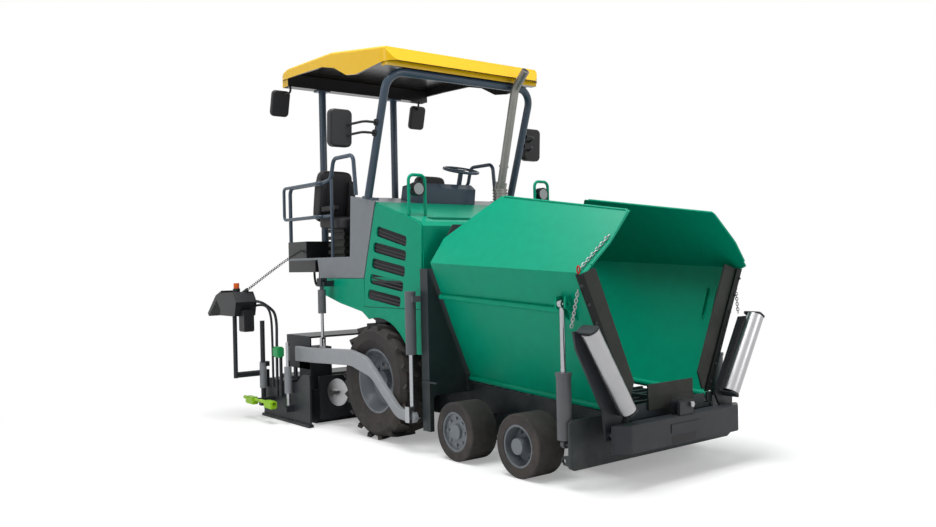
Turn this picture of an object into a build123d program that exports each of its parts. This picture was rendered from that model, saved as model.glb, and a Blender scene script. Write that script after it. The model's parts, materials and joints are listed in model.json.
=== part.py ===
"""Compact wheeled asphalt paver, in millimetres.

Frame: +X is the direction of travel (hopper end), +Y is the left side, +Z is up.
The origin is on the ground under the middle of the machine. Places along X are
given as stations, measured forward from the rear axle.
"""
from build123d import *
import os
from math import atan2, cos, degrees, radians, sin, sqrt

os.makedirs("parts", exist_ok=True)

# ---------------------------------------------------------------- driving sizes
REAR_AXLE_X = -191.5            # rear axle in the machine's frame
FIT = 0.3                       # gap between pieces that seat on one another
RUN = 8.0                       # running gap between moving pieces

# wheels
REAR_TYRE_RADIUS = 513.0
REAR_TYRE_WIDTH = 350.0
REAR_RIM_RADIUS = 285.0
FRONT_TYRE_RADIUS = 230.0
FRONT_TYRE_WIDTH = 250.0
FRONT_RIM_RADIUS = 155.0
WHEEL_OUTER_Y = 922.0           # outer face of every tyre
FRONT_STATIONS = (1187.0, 1923.0)
KINGPIN_Y = 640.0

# chassis
CHASSIS_HALF = 480.0            # outside of the two long side plates
SIDE_PLATE = 20.0
DECK_Z = 1400.0                 # top of the deck that carries hood and platform
DECK_PLATE = 20.0
DECK_REAR = -1080.0
BULKHEAD_STATION = 845.0        # front face of the plate behind the hopper
BULKHEAD_PLATE = 20.0
FRAME_FRONT = 2560.0
FRAME_BOTTOM_Z = 300.0
FLOOR_Z = 560.0                 # hopper floor
CONVEYOR_FRONT = 2500.0
FLAP_STATION = 2545.0           # rear face of the rubber flap across the hopper's front
FLAP_THICK = 10.0

# hopper wings
WING_REAR = 885.0
WING_FRONT = 2525.0
WING_PLATE = 10.0
WING_HINGE_Y = 500.0
WING_HINGE_Z = 589.0            # at the rear end of the hinge
WING_FALL = 0.052               # every wing line drops this much per unit forward

# body panels
PANEL_Y = 850.0                 # outer face of side panels and fenders
PANEL_PLATE = 15.0

# canopy
CANOPY_HALF = 900.0
CANOPY_WALL = 22.0
HOOP_RADIUS = 36.0
HOOP_TOP_Z = 3262.0
REAR_POST = (-1630.0, 450.0)    # station and half spacing of the rear posts
REAR_POST_TOP = 3392.0

# tow arms and screed
TOW_STATION = 680.0
TOW_Z = 288.0
ARM_INNER_Y = 937.0
ARM_PLATE = 48.0
SCREED_HALF = 920.0
SCREED_SOLE_Z = 6.0
SCREED_FRONT = -955.0
BASE_DEPTH = 440.0
EXTENSION_DEPTH = 380.0
END_PLATE_Y = 1050.0


AUGER = (-760.0, 330.0)         # station and height of the auger's shaft
AUGER_GAP = 60.0                # half width of the gearbox between its halves
HOPPER_PIN = (2330.0, -850.0, 300.0)    # foot and head of the right hopper cylinder
WING_PIN = (2330.0, -850.0, 1250.0)
LIFT_PIN = (-800.0, 1375.0)     # station and height of the lift cylinder's upper pin
LIFT_PIN_RADIUS = 14.0
LIFT_ROD_RADIUS = 15.0
LEAD_TOP = Vector(-1380, -850, 1700)    # ends of the curly lead: station, Y, Z
LEAD_BEND = Vector(-1380, -910, 1700)
LEAD_FOOT = Vector(-1640, -1330, 1322)
LEAD_RADIUS = 16.0


def station(x):
    """X in the machine's frame of a place measured from the rear axle."""
    return REAR_AXLE_X + x


def across(y):
    """Sketch plane whose local axes are X and Z, at the given Y, facing -Y."""
    return Plane.XZ.offset(-y)


def facing(x):
    """Sketch plane whose local axes are Y and Z, at the given station, facing +X."""
    return Plane.YZ.offset(station(x))


def hinge_z(x):
    """Height of the wing hinge's sloping axis at a station."""
    return WING_HINGE_Z - WING_FALL * (x - WING_REAR)


def keep(piece, label):
    """Label a finished piece and write it."""
    piece.part.label = label
    export_step(piece.part, f"parts/{label}.step")


def mirrored(piece):
    """The same piece on the left side of the machine."""
    with BuildPart() as other:
        mirror(piece.part, about=Plane.XZ)
    return other


def side_outline(points):
    """Closed outline from (station, z) pairs, for a sketch on an across() plane."""
    Polygon(*[(station(x), z) for x, z in points], align=None)


def bar(start, end, radius, mode=Mode.ADD):
    """Round bar, or with Mode.SUBTRACT a bore, between two points of the open part."""
    axis = Vector(*end) - Vector(*start)
    with Locations(Plane(origin=start, z_dir=axis.normalized())):
        Cylinder(radius, axis.length, align=(Align.CENTER, Align.CENTER, Align.MIN), mode=mode)


def tube_path(points, radius, bend):
    """Round tube along straight runs joined by arcs of one bend radius."""
    with BuildLine() as path:
        FilletPolyline(*points, radius=bend)
    with BuildSketch(Plane(origin=path.line @ 0, z_dir=path.line % 0)) as section:
        Circle(radius)
    sweep(section.sketch, path=path.line)


def block(x0, x1, y0, y1, z0, z1, mode=Mode.ADD):
    """Rectangular block between stations, Y and Z limits, in the open part."""
    with Locations((station((x0 + x1) / 2), (y0 + y1) / 2, (z0 + z1) / 2)):
        Box(x1 - x0, abs(y1 - y0), z1 - z0, mode=mode)


# ---------------------------------------------------------------- rear wheels
def rear_tyre(y_outer):
    """Pneumatic drive tyre with chevron lugs."""
    middle = y_outer + REAR_TYRE_WIDTH / 2
    shoulder = 45.0
    lug = 26.0
    carcass = REAR_TYRE_RADIUS - lug
    half = REAR_TYRE_WIDTH / 2
    with BuildPart() as tyre:
        with BuildSketch(facing(0)):
            with BuildLine():
                Polyline(
                    (y_outer + 40, REAR_TYRE_RADIUS + REAR_RIM_RADIUS + FIT),
                    (y_outer, REAR_TYRE_RADIUS + REAR_RIM_RADIUS + 80),
                    (y_outer, REAR_TYRE_RADIUS + carcass - shoulder),
                    (y_outer + shoulder, REAR_TYRE_RADIUS + carcass),
                    (y_outer + 2 * half - shoulder, REAR_TYRE_RADIUS + carcass),
                    (y_outer + 2 * half, REAR_TYRE_RADIUS + carcass - shoulder),
                    (y_outer + 2 * half, REAR_TYRE_RADIUS + REAR_RIM_RADIUS + 80),
                    (y_outer + 2 * half - 40, REAR_TYRE_RADIUS + REAR_RIM_RADIUS + FIT),
                    close=True,
                )
            make_face()
        revolve(axis=Axis((station(0), 0, REAR_TYRE_RADIUS), (0, 1, 0)))
        count = 18
        for side in (-1, 1):
            turns = [radians(360 / count * (i + side * 0.25)) for i in range(count)]
            planes = [
                Plane(
                    origin=(station(0), middle + side * half / 2, REAR_TYRE_RADIUS),
                    x_dir=(0, 1, 0),
                    z_dir=(sin(turn), 0, cos(turn)),
                ).offset(carcass - 12)
                for turn in turns
            ]
            with BuildSketch(*planes):
                Rectangle(half - 6, 42, rotation=side * 32)
            extrude(amount=lug + 12)
        with BuildSketch(across(y_outer + 2 * half)):
            with Locations((station(0), REAR_TYRE_RADIUS)):
                Circle(REAR_TYRE_RADIUS)
        extrude(amount=2 * half, mode=Mode.INTERSECT)
    return tyre


def rear_rim(y_outer):
    """Deep dished rim with its hub cap, seen from the outside."""
    z = REAR_TYRE_RADIUS
    dish = y_outer + 150
    with BuildPart() as rim:
        with BuildSketch(facing(0)):
            with BuildLine():
                Polyline(
                    (y_outer + 42, z + REAR_RIM_RADIUS),
                    (y_outer + REAR_TYRE_WIDTH - 42, z + REAR_RIM_RADIUS),
                    (y_outer + REAR_TYRE_WIDTH - 42, z + REAR_RIM_RADIUS - 16),
                    (dish + 14, z + 225),
                    (dish + 14, z),
                    (y_outer + 78, z),
                    (y_outer + 78, z + 62),
                    (y_outer + 100, z + 92),
                    (dish, z + 92),
                    (dish, z + 218),
                    (y_outer + 42, z + REAR_RIM_RADIUS - 18),
                    close=True,
                )
            make_face()
        revolve(axis=Axis((station(0), 0, z), (0, 1, 0)))
        with BuildSketch(across(dish)):
            with Locations((station(0), z)):
                with PolarLocations(145, 10):
                    Circle(14)
        extrude(amount=18)
    return rim


def rear_axle():
    """Final drives and axle tube between the rear wheels."""
    z = REAR_TYRE_RADIUS
    with BuildPart() as axle:
        for side in (-1, 1):
            inner = side * (CHASSIS_HALF + FIT)
            flange = side * (WHEEL_OUTER_Y - 164 - FIT)
            bar((station(0), inner, z), (station(0), side * 590, z), 190)
            bar((station(0), side * 590, z), (station(0), flange, z), 150)
    return axle


# ---------------------------------------------------------------- front wheels
def front_tyre(x, y_outer):
    """Solid rubber tyre pressed on its rim."""
    z = FRONT_TYRE_RADIUS
    with BuildPart() as tyre:
        bar((station(x), y_outer, z), (station(x), y_outer + FRONT_TYRE_WIDTH, z),
            FRONT_TYRE_RADIUS)
        bar((station(x), y_outer, z), (station(x), y_outer + FRONT_TYRE_WIDTH, z),
            FRONT_RIM_RADIUS + FIT, Mode.SUBTRACT)
        rims = tyre.edges().filter_by(GeomType.CIRCLE)
        fillet(rims.filter_by(lambda e: e.radius > FRONT_TYRE_RADIUS - 1), 14)
    return tyre


def front_rim(x, y_outer, dished):
    """Front rim: a flat bolted disc, or a deep dish round a cylindrical hub."""
    z = FRONT_TYRE_RADIUS
    floor = 22.0 if not dished else 105.0
    with BuildPart() as rim:
        bar((station(x), y_outer + 6, z), (station(x), y_outer + FRONT_TYRE_WIDTH - 70, z),
            FRONT_RIM_RADIUS)
        with BuildSketch(across(y_outer + 6 + floor)):
            with Locations((station(x), z)):
                Circle(FRONT_RIM_RADIUS - 16)
        extrude(amount=floor, mode=Mode.SUBTRACT)
        hub_out = y_outer + (8 if not dished else -6)
        bar((station(x), hub_out, z), (station(x), y_outer + floor + 12, z), 58)
        with BuildSketch(across(y_outer + 6 + floor)):
            with Locations((station(x), z)):
                with PolarLocations(104, 8):
                    Circle(11)
        extrude(amount=14)
    return rim


def knuckle(x):
    """Steering knuckle: kingpin barrel and stub axle flange of one front wheel."""
    z = FRONT_TYRE_RADIUS
    inner_face = -(WHEEL_OUTER_Y - FRONT_TYRE_WIDTH + 70)
    with BuildPart() as piece:
        bar((station(x), -KINGPIN_Y, z - 90), (station(x), -KINGPIN_Y, z + 90), 42)
        bar((station(x), -KINGPIN_Y, z), (station(x), inner_face + FIT, z), 50)
        bar((station(x), inner_face + 24, z), (station(x), inner_face + FIT, z), 95)
    return piece


def bogie_beams():
    """Tandem rocker beams under the hopper, each with two kingpin forks."""
    z = FRONT_TYRE_RADIUS
    arm = 18.0
    with BuildPart() as beams:
        for side in (-1, 1):
            y0 = side * 505
            y1 = side * 555
            with BuildSketch(across(max(y0, y1))):
                with BuildLine():
                    Polyline(
                        (station(FRONT_STATIONS[0] - 70), z - 60),
                        (station(FRONT_STATIONS[1] + 70), z - 60),
                        (station(FRONT_STATIONS[1] + 70), z + 60),
                        (station(1555 + 120), z + 130),
                        (station(1555 - 120), z + 130),
                        (station(FRONT_STATIONS[0] - 70), z + 60),
                        close=True,
                    )
                make_face()
            extrude(amount=abs(y1 - y0))
            bar((station(1555), side * (CHASSIS_HALF + FIT), z + 60),
                (station(1555), y0, z + 60), 55)
            for x in FRONT_STATIONS:
                for level in (z - 90 - FIT - arm, z + 90 + FIT):
                    block(x - 48, x + 48, side * 540, side * (KINGPIN_Y + 40), level, level + arm)
                block(x - 48, x + 48, side * 530, y1, z - 90 - FIT - arm, z + 90 + FIT + arm)
    return beams


# ---------------------------------------------------------------- chassis
def chassis_frame():
    """Two side plates, deck, bulkhead, front cross plate and tow-point rails."""
    half = CHASSIS_HALF
    with BuildPart() as frame:
        for side in (-1, 1):
            outer = max(side * half, side * (half - SIDE_PLATE))
            with BuildSketch(across(outer)):
                side_outline([
                    (-620, 420), (-420, 230), (BULKHEAD_STATION, 230), (FRAME_FRONT, FRAME_BOTTOM_Z),
                    (FRAME_FRONT, FLOOR_Z - 100), (BULKHEAD_STATION, FLOOR_Z - 20),
                    (BULKHEAD_STATION, DECK_Z - DECK_PLATE), (DECK_REAR, DECK_Z - DECK_PLATE),
                    (DECK_REAR, 1180), (-620, 1000),
                ])
            extrude(amount=SIDE_PLATE)
            # guide rail of the tow point, with its small step
            block(742, BULKHEAD_STATION, side * 862, side * 902, 180, 1500)
            block(760, 960, side * 902, side * 918, 578, 590)
            # lug and pin under the hopper cylinder
            block(2388, 2400, side * 826, side * 874, 270, 326)
            bar((station(2310), side * 850, 300), (station(2388), side * 850, 300), 15 - FIT)
            # lugs and pins of the wing hinge, at both ends of its tube
            for x0, x1, foot in ((BULKHEAD_STATION, WING_REAR - 5, 480), (2508, 2522, 300)):
                block(x0, x1, side * 462, side * 526, foot, hinge_z(x0) + 26)
            bar((station(860), side * WING_HINGE_Y, hinge_z(860)),
                (station(930), side * WING_HINGE_Y, hinge_z(930)), 14 - FIT)
            bar((station(2460), side * WING_HINGE_Y, hinge_z(2460)),
                (station(2522), side * WING_HINGE_Y, hinge_z(2522)), 14 - FIT)
            # bracket and pin over the lift cylinder
            x, z = LIFT_PIN
            block(x - 40, x + 40, side * 820, side * 941, z - 30, z + 23)
            block(x - 40, x + 40, side * 925, side * 991, z + 37, z + 49)
            for y0, y1 in ((925, 941), (977, 991)):
                block(x - 40, x + 40, side * y0, side * y1, z - 30, z + 49)
            bar((station(x), side * 941, z), (station(x), side * 977, z), LIFT_PIN_RADIUS - FIT)
        block(DECK_REAR, 700, -830, 830, DECK_Z - DECK_PLATE, DECK_Z)
        # cross member behind the front flap
        inner = half - SIDE_PLATE
        with BuildSketch(facing(2530)):
            with BuildLine():
                Polyline((-inner, 430), (inner, 430), (inner, 455), (400, 455), (400, 530), (-400, 530),
                         (-400, 455), (-inner, 455), close=True)
            make_face()
        extrude(amount=FLAP_STATION - FIT - 2530)
        # gearbox in the middle of the auger, on its cross tube
        block(-600, -560, -half, half, 330, 420)
        block(AUGER[0] - 70, -560, -AUGER_GAP + FIT, AUGER_GAP - FIT, AUGER[1] - 90, AUGER[1] + 90)
        block(BULKHEAD_STATION - BULKHEAD_PLATE, BULKHEAD_STATION, -902, 902, 470, 1500)
        block(FRAME_FRONT - 180, FRAME_FRONT, -half, half, FRAME_BOTTOM_Z, FRAME_BOTTOM_Z + 14)
        block(860, 1060, -half, half, FRAME_BOTTOM_Z - 60, FRAME_BOTTOM_Z - 46)
        # conveyor tunnel through the bulkhead
        block(BULKHEAD_STATION - BULKHEAD_PLATE, BULKHEAD_STATION,
              -half + SIDE_PLATE, half - SIDE_PLATE, 475, 800, mode=Mode.SUBTRACT)
        # wall at the rear of the hopper, seen between the wings
        with BuildSketch(facing(BULKHEAD_STATION)):
            with BuildLine():
                Polyline((-455, 800), (455, 800), (455, 900), (820, 1560), (640, 1860),
                         (-640, 1860), (-820, 1560), (-455, 900), close=True)
            make_face()
        extrude(amount=12)
        # lashing eyes at the outer ends of the front cross plate
        for side in (-1, 1):
            with BuildSketch(across(max(side * 872, side * 888))):
                side_outline([(2400, 160), (2400, 235), (2350, 225), (2330, 193), (2350, 165)])
                with Locations((station(2358), 193)):
                    Circle(16, mode=Mode.SUBTRACT)
            extrude(amount=16)
        # wide front cross plate
        with BuildSketch(facing(2400)):
            with BuildLine():
                Polyline((-890, 150), (-850, 130), (850, 130), (890, 150), (890, 450), (860, 470),
                         (565, 470), (545, 450), (-545, 450), (-565, 470), (-860, 470), (-890, 450),
                         close=True)
            make_face()
            with Locations((0, 385)):
                Rectangle(2 * (half - SIDE_PLATE), 170, mode=Mode.SUBTRACT)
        extrude(amount=18)
    return frame


def engine_block():
    """Diesel engine and pumps as one plain mass under the hood."""
    with BuildPart() as engine:
        block(-60, 560, -420, 420, DECK_Z + FIT, 1750)
    return engine


def conveyors():
    """Two slat conveyors side by side: floor, flight bars and the middle guide."""
    with BuildPart() as floor:
        floor_half = CHASSIS_HALF - SIDE_PLATE - FIT
        block(-560, CONVEYOR_FRONT, -floor_half, floor_half, FLOOR_Z - 80, FLOOR_Z - 60)
        for x in range(-500, int(CONVEYOR_FRONT) - 22, 120):
            block(x, x + 22, -440, -20, FLOOR_Z - 60, FLOOR_Z - 42)
            block(x, x + 22, 20, 440, FLOOR_Z - 60, FLOOR_Z - 42)
        block(-560, CONVEYOR_FRONT, -16, 16, FLOOR_Z - 60, FLOOR_Z - 20)
    return floor


def push_beam():
    """Front beam with chamfered ends that pushes the feed truck."""
    with BuildPart() as beam:
        with BuildSketch(facing(2600)):
            with BuildLine():
                Polyline((-596, 255), (596, 255), (685, 345), (685, 385), (596, 470),
                         (-596, 470), (-685, 385), (-685, 345), close=True)
            make_face()
            with Locations((-48, 288)):
                RectangleRounded(234, 72, 12, mode=Mode.SUBTRACT)
        extrude(amount=100)
        with BuildSketch(facing(2600)):
            with Locations((-48, 288)):
                RectangleRounded(234, 72, 12)
        extrude(amount=30)
        block(FRAME_FRONT + FIT, 2600, -440, 440, 270, 455)
        # pivot pins of the roller carriers
        for side in (-1, 1):
            bar((station(ARM_BACK - 12), side * -ARM_PIN[0], ARM_PIN[1]),
                (station(2602), side * -ARM_PIN[0], ARM_PIN[1]), 20)
        # jaw of the tow coupling on top of the beam
        with BuildSketch(facing(2610)):
            with BuildLine():
                Polyline((-95, 470), (95, 470), (70, 540), (-70, 540), close=True)
            make_face()
        extrude(amount=24)
        with BuildSketch(facing(2668)):
            with BuildLine():
                Polyline((-95, 470), (95, 470), (70, 540), (-70, 540), close=True)
            make_face()
        extrude(amount=24)
        with BuildSketch(facing(2605)):
            with Locations((-45, 508), (45, 508)):
                Circle(13)
        extrude(amount=95, mode=Mode.SUBTRACT)
    return beam


def tow_coupling():
    """Pin of the tow coupling through both cheeks of its jaw."""
    with BuildPart() as pin:
        bar((station(2596), 45, 508), (station(2702), 45, 508), 12.5)
        bar((station(2702), 45, 508), (station(2712), 45, 508), 20)
        bar((station(2640), 45, 508), (station(2660), 45, 508), 24)
    return pin


# ---------------------------------------------------------------- body panels
def hood_rear(z):
    """Station of the hood's slanted rear face at a height."""
    return -235 + 223 * (z - DECK_Z) / 700


HOOD_PROFILE = [(-235, 1400), (-12, 2100), (668, 1893), (705, 1855), (705, 1400)]


def hood():
    """Engine hood as an open-bottomed shell with rounded front edge."""
    outer_y = PANEL_Y - PANEL_PLATE - FIT
    wall = 20.0
    inner = [(-200, 1400), (12, 2072), (652, 1877), (680, 1850), (680, 1400)]
    with BuildPart() as shell:
        with BuildSketch(across(outer_y)):
            side_outline([(x, z + FIT if z == 1400 else z) for x, z in HOOD_PROFILE])
        extrude(amount=2 * outer_y)
        with BuildSketch(across(outer_y - wall)):
            side_outline(inner)
        extrude(amount=2 * (outer_y - wall), mode=Mode.SUBTRACT)
        # air intake in the sloping top, behind the front edge
        with BuildSketch(Plane.XY.offset(1800)):
            with Locations((station(560), -420), (station(560), 420)):
                SlotOverall(520, 90, rotation=90)
        extrude(amount=300, mode=Mode.SUBTRACT)
    return shell


def hood_top(x):
    """Height of the hood's sloping top at a station."""
    (x0, z0), (x1, z1) = HOOD_PROFILE[1:3]
    return z0 + (z1 - z0) * (x - x0) / (x1 - x0)


DOOR_PROFILE = [(-205, 1425), (8, 2092), (664, 1890), (700, 1852), (682, 1345), (560, 1345), (480, 1425)]
LOUVRES = 5


def door_top(x):
    """Height of the door's top edge, its hinge line, at a station."""
    (x0, z0), (x1, z1) = DOOR_PROFILE[1:3]
    return z0 + (z1 - z0) * (x - x0) / (x1 - x0)


def side_door():
    """Hinged hood flap with five slanted louvre slots."""
    with BuildPart() as door:
        with BuildSketch(across(-(PANEL_Y - PANEL_PLATE))):
            side_outline(DOOR_PROFILE)
        extrude(amount=PANEL_PLATE)
        for row in range(LOUVRES):
            drop = row / (LOUVRES - 1)
            left = (40 - 185 * drop, 1868 - 565 * drop)
            right = (470 - 115 * drop, 1703 - 505 * drop)
            mid_x = (left[0] + right[0]) / 2
            mid_z = (left[1] + right[1]) / 2 + 45
            length = sqrt((right[0] - left[0]) ** 2 + (right[1] - left[1]) ** 2)
            slope = degrees(atan2(right[1] - left[1], right[0] - left[0]))
            if mid_z > 1470:
                with BuildSketch(across(-(PANEL_Y - PANEL_PLATE))):
                    with Locations((station(mid_x), mid_z)):
                        SlotOverall(length, 32, rotation=slope)
                extrude(amount=PANEL_PLATE, mode=Mode.SUBTRACT)
        # hinge barrels on the sloping top edge
        for x in (70, 290, 510):
            bar((station(x), -PANEL_Y, door_top(x)), (station(x + 90), -PANEL_Y, door_top(x + 90)), 9)
    return door


def fenders():
    """Green skirts with the arch over each rear wheel."""
    arch = REAR_TYRE_RADIUS + 45
    with BuildPart() as skirts:
        for side in (-1, 1):
            plane = across(max(side * PANEL_Y, side * (PANEL_Y - PANEL_PLATE)))
            with BuildSketch(plane):
                side_outline([(-1014, 1398), (-990, 1235), (-300, 1110), (0, 700), (740, 700),
                              (740, 1335), (560, 1335), (475, 1418), (-1010, 1418)])
                with Locations((station(0), REAR_TYRE_RADIUS)):
                    Circle(arch, mode=Mode.SUBTRACT)
                with Locations((station(0), 640)):
                    Rectangle(1200, 300, mode=Mode.SUBTRACT)
                with Locations((station(LIFT_PIN[0]), LIFT_PIN[1] - 90)):
                    Rectangle(80 + 2 * FIT, 240, mode=Mode.SUBTRACT)
            extrude(amount=PANEL_PLATE)
            edge = side * (830 + FIT)
            block(-720, 560, edge, side * (PANEL_Y - PANEL_PLATE), DECK_Z - 60, DECK_Z - 4)
            block(-1000, -880, edge, side * (PANEL_Y - PANEL_PLATE), DECK_Z - 60, DECK_Z - 4)
    return skirts


LOCKER_TOP = [(-420, 2176), (hood_rear(2090) - 1, 2090)]
CHEEK_TOP = [(-420, 2180), (-6, 2106)]


def platform():
    """Operator's deck with its grey side boxes and rear locker."""
    skin = PANEL_Y
    with BuildPart() as deck:
        block(DECK_REAR, -246, -830, 830, DECK_Z + FIT, 1600)
        block(-1700, -246, -skin, skin, 1600, 1621)
        for side in (-1, 1):
            outer = max(side * skin, side * (skin - PANEL_PLATE))
            with BuildSketch(across(outer)):
                side_outline([(-1036, 1424), (-217, 1424)] + CHEEK_TOP[::-1] + [(-453, 1621), (-1076, 1621)])
            extrude(amount=PANEL_PLATE)
        # transverse locker between deck and hood
        with BuildSketch(across(skin - PANEL_PLATE)):
            side_outline([(-453, 1621), (hood_rear(1621) - 1, 1621)] + LOCKER_TOP[::-1])
        extrude(amount=2 * (skin - PANEL_PLATE))
        # rear lockers beside the access ladder
        for side in (-1, 1):
            block(-1690, -1120, side * 480, side * skin, 1480, 1600)
            block(-1690, -1300, side * 560, side * skin, 1621, 1790)
    return deck


def locker_top(x):
    """Height of the sloping top between platform and hood at a station."""
    (x0, z0), (x1, z1) = LOCKER_TOP
    return z0 + (z1 - z0) * (x - x0) / (x1 - x0)


def cheek_top(x):
    """Height of the sloping top edge of the side panels at a station."""
    (x0, z0), (x1, z1) = CHEEK_TOP
    return z0 + (z1 - z0) * (x - x0) / (x1 - x0)


def dashboard():
    """Sloping instrument console with its steering column and three-spoked wheel."""
    hub = Plane(origin=(station(-164), 250, 2434), z_dir=(0.266, 0, 0.964))
    with BuildPart() as dash:
        with BuildSketch(across(330)):
            side_outline([(-330, locker_top(-330) + FIT), (-60, locker_top(-60) + FIT), (-40, 2250),
                          (-110, 2300), (-300, 2280)])
        extrude(amount=680)
        bar((station(-205), 250, 2285), (station(-160), 250, 2440), 24)
        with Locations(hub):
            Cylinder(38, 22, align=(Align.CENTER, Align.CENTER, Align.MIN))
        with Locations(hub.offset(12)):
            Torus(170, 13)
            with PolarLocations(92, 3):
                Box(140, 20, 8)
    return dash


def seats():
    """Two operator seats on sprung pedestals."""
    with BuildPart() as pair:
        for side in (-1, 1):
            y0 = side * 590 - 210
            y1 = side * 590 + 210
            block(-1100, -760, side * 590 - 130, side * 590 + 130, 1621 + FIT, 1900)
            with BuildSketch(across(y1)):
                side_outline([(-1180, 1900), (-660, 1900), (-640, 1960), (-680, 2010), (-1090, 2010),
                              (-1190, 2520), (-1290, 2500), (-1230, 1980)])
            extrude(amount=y1 - y0)
    return pair


def handrails():
    """Tube rails round the operator's places and at the left front."""
    r = 19.0
    with BuildPart() as rails:
        for side in (-1, 1):
            y = side * 838
            points = [(-1650, 1790 + FIT), (-1650, 2345), (-960, 2345), (-800, 2370), (-740, 2560),
                      (-380, 2560), (-340, 2186)]
            tube_path([(station(x), y, z) for x, z in points], r, 70)
            bar((station(-1650), y, 2020), (station(-790), y, 2020), 15)
            bar((station(-790), y, 1621 + FIT), (station(-790), y, 2372), 15)
    return rails


def canopy_posts():
    """Bent-tube front hoop on foot plates and two rear posts under the canopy."""
    with BuildPart() as posts:
        half = CANOPY_HALF - 60
        crown = (station(232), HOOP_TOP_Z - HOOP_RADIUS)
        heel = (station(-130), cheek_top(-130) + 12)
        tube_path([(heel[0], -half, heel[1]), (crown[0], -half, crown[1]), (crown[0], half, crown[1]),
                   (heel[0], half, heel[1])], HOOP_RADIUS, 170)
        for side in (-1, 1):
            with BuildSketch(across(max(side * (half - 62), side * (half + 8)))):
                side_outline([(-215, cheek_top(-215) + FIT), (-50, cheek_top(-50) + FIT),
                              (-50, cheek_top(-50) + 24), (-215, cheek_top(-215) + 24)])
            extrude(amount=70)
            x, y = station(REAR_POST[0]), side * REAR_POST[1]
            bar((x, y, 1621 + FIT), (x, y, REAR_POST_TOP), 38)
            block(REAR_POST[0] - 55, REAR_POST[0] + 55, y - 55, y + 55, 1621 + FIT, 1635)
            block(REAR_POST[0] - 55, REAR_POST[0] + 55, y - 70, y + 70, REAR_POST_TOP - 12, REAR_POST_TOP)
    return posts


def canopy_form(side, inset, floor):
    """Solid of one side profile inside the roof's plan, which has rounded corners."""
    rear, front = -1740 + inset, 335 - inset
    with BuildPart() as form:
        with BuildSketch(across(CANOPY_HALF)):
            side_outline(side)
        extrude(amount=2 * CANOPY_HALF)
        with BuildSketch(Plane.XY.offset(floor)):
            with Locations((station((rear + front) / 2), 0)):
                RectangleRounded(front - rear, 2 * (CANOPY_HALF - inset), 130 - inset)
        extrude(amount=500, mode=Mode.INTERSECT)
    return form


def canopy():
    """Moulded roof shell, open below, with the wavy lower side edge."""
    lower = [(-1740, 3463), (-1261, 3457), (-813, 3442), (-585, 3390), (-369, 3285), (-194, 3262),
             (240, 3292), (335, 3300)]
    upper = [(255, 3428), (-653, 3553), (-1540, 3567), (-1700, 3530)]
    hollow = [(-1715, 3150), (-1715, 3480), (-1680, 3508), (-1530, 3541), (-653, 3527), (240, 3404),
              (308, 3296), (308, 3150)]
    cavity = canopy_form(hollow, CANOPY_WALL, 3150)
    with BuildPart() as roof:
        add(canopy_form(lower + upper, 0, 3150))
        crest = roof.faces().filter_by(lambda f: f.normal_at().Z > 0.9)
        fillet(crest.edges().filter_by(Axis.Y, reverse=True).filter_by(lambda e: abs(e.center().Y) > CANOPY_HALF - 10), 28)
        add(cavity, mode=Mode.SUBTRACT)
        # cross members that rest on the hoop and the posts
        inner = CANOPY_HALF - CANOPY_WALL
        block(REAR_POST[0] - 60, REAR_POST[0] + 60, -inner, inner, REAR_POST_TOP + FIT, 3520)
        block(195, 268, -inner, inner, HOOP_TOP_Z + FIT, 3408)
    return roof


def exhaust():
    """Leaning exhaust pipe from the hood to above the canopy's front edge."""
    y = 560
    foot = hood_top(58 - 66) + FIT
    with BuildPart() as pipe:
        tube_path([(station(75), y, 2290), (station(312), y, 3200), (station(466), y, 3344)], 40, 120)
        bar((station(466 - 8), y, 3344 - 7.5), (station(466 + 12), y, 3344 + 11.2), 33, Mode.SUBTRACT)
        # ribbed elbow and its foot on the hood
        bar((station(58), y, foot), (station(58), y, 2240), 66)
        for z in (2150, 2180, 2210, 2240):
            bar((station(58), y, z), (station(58), y, z + 14), 74)
        bar((station(58), y, 2240), (station(82), y, 2318), 56)
        bar((station(120), y, 2463), (station(125), y, 2482), 47)
    return pipe


def mirror_head(middle, size, turn):
    """Rounded mirror housing: its height, width and depth round a middle point."""
    height, width, depth = size
    with BuildPart() as head:
        with BuildSketch(Plane(origin=middle, x_dir=(0, 1, 0), z_dir=turn)):
            RectangleRounded(width, height, width * 0.22)
        extrude(amount=depth / 2, both=True)
        fillet(head.faces().sort_by(Axis.X)[-1].edges(), depth * 0.3)
    return head


def mirrors():
    """Front mirrors on the hoop and rear mirrors at the canopy's corners."""
    with BuildPart() as set_of_mirrors:
        for side in (-1, 1):
            add(mirror_head((station(-105), side * (CANOPY_HALF + 230), 2745), (330, 220, 64), (1, 0, -0.05)))
            post = CANOPY_HALF - 60 + HOOP_RADIUS + FIT
            for z in (2700, 2790):
                x = station(-130 + (z - 2128) * 0.3305)
                tube_path([(x, side * post, z), (x, side * (CANOPY_HALF + 100), z),
                           (station(-105), side * (CANOPY_HALF + 190), z - 20)], 11, 50)
                bar((x, side * post, z), (x, side * (post + 12), z), 30)
            rear = side * (CANOPY_HALF - 30)
            add(mirror_head((station(-1775), rear, 3245), (270, 200, 56), (1, 0, -0.25)))
            inward = rear - side * 60
            tube_path([(station(-1650), inward, REAR_POST_TOP), (station(-1650), inward, 3345),
                       (station(-1770), rear, 3325)], 11, 30)
    return set_of_mirrors


def headlamps():
    """Work lamps inside bent-tube guards on the hood's front corners."""
    with BuildPart() as lamps:
        for side in (-1, 1):
            foot = hood_top(470 - 14) + FIT
            points = [(station(470), side * 640, foot), (station(470), side * 640, 2300),
                      (station(470), side * 810, 2300), (station(470), side * 810, foot)]
            tube_path(points, 14, 50)
            bar((station(440), side * 725, 2180), (station(500), side * 725, 2180), 62)
            bar((station(470), side * 640, 2180), (station(470), side * 810, 2180), 8)
    return lamps


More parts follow.
